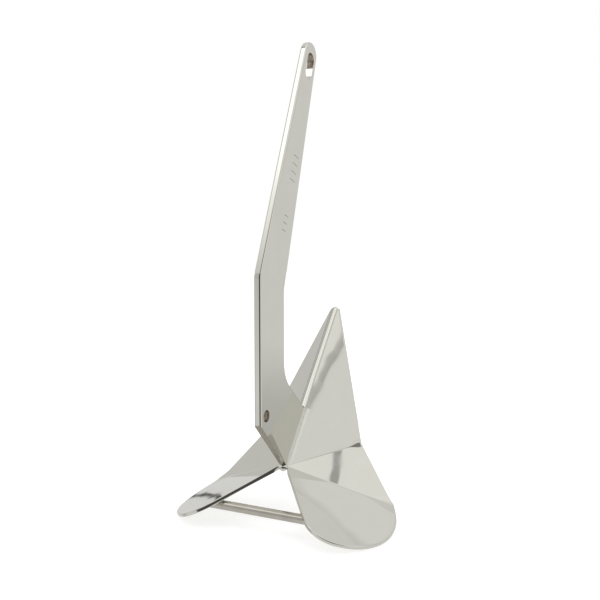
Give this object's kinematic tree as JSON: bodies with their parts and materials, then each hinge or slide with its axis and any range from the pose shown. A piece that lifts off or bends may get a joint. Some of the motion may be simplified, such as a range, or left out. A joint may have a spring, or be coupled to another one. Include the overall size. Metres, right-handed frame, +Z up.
{
  "type": "plough anchor",
  "caption": "Polished stainless plough anchor: cranked plate shank welded to folded flukes, with a crossbar, a shackle slot and a trip-line hole.",
  "frame": {"origin": "middle of the bounding box's underside, on the level of the two lobes' lowest points", "axes": "+X forward, the way the nose points; +Y to the left, along the trip-line hole; +Z up, towards the shackle slot"},
  "size_m": [0.2086, 0.2472, 0.5157],
  "materials": {
    "polished_plate": "mirror polished 316 stainless steel plate",
    "polished_bar": "polished 316 stainless steel round bar",
    "weld_metal": "ground and buffed weld metal",
    "cast_ballast": "cast lead, hidden"
  },
  "bodies": {
    "root": {"shank": "polished_plate", "fluke_left": "polished_plate", "fluke_right": "polished_plate", "ridge_bar": "polished_plate", "nose_cover": "polished_plate", "crossbar": "polished_bar", "nose_ballast": "cast_ballast", "weld_foot_left": "weld_metal", "weld_foot_right": "weld_metal", "weld_crossbar_left": "weld_metal", "weld_crossbar_right": "weld_metal", "weld_toe": "weld_metal", "weld_heel": "weld_metal"}
  },
  "joints": []
}
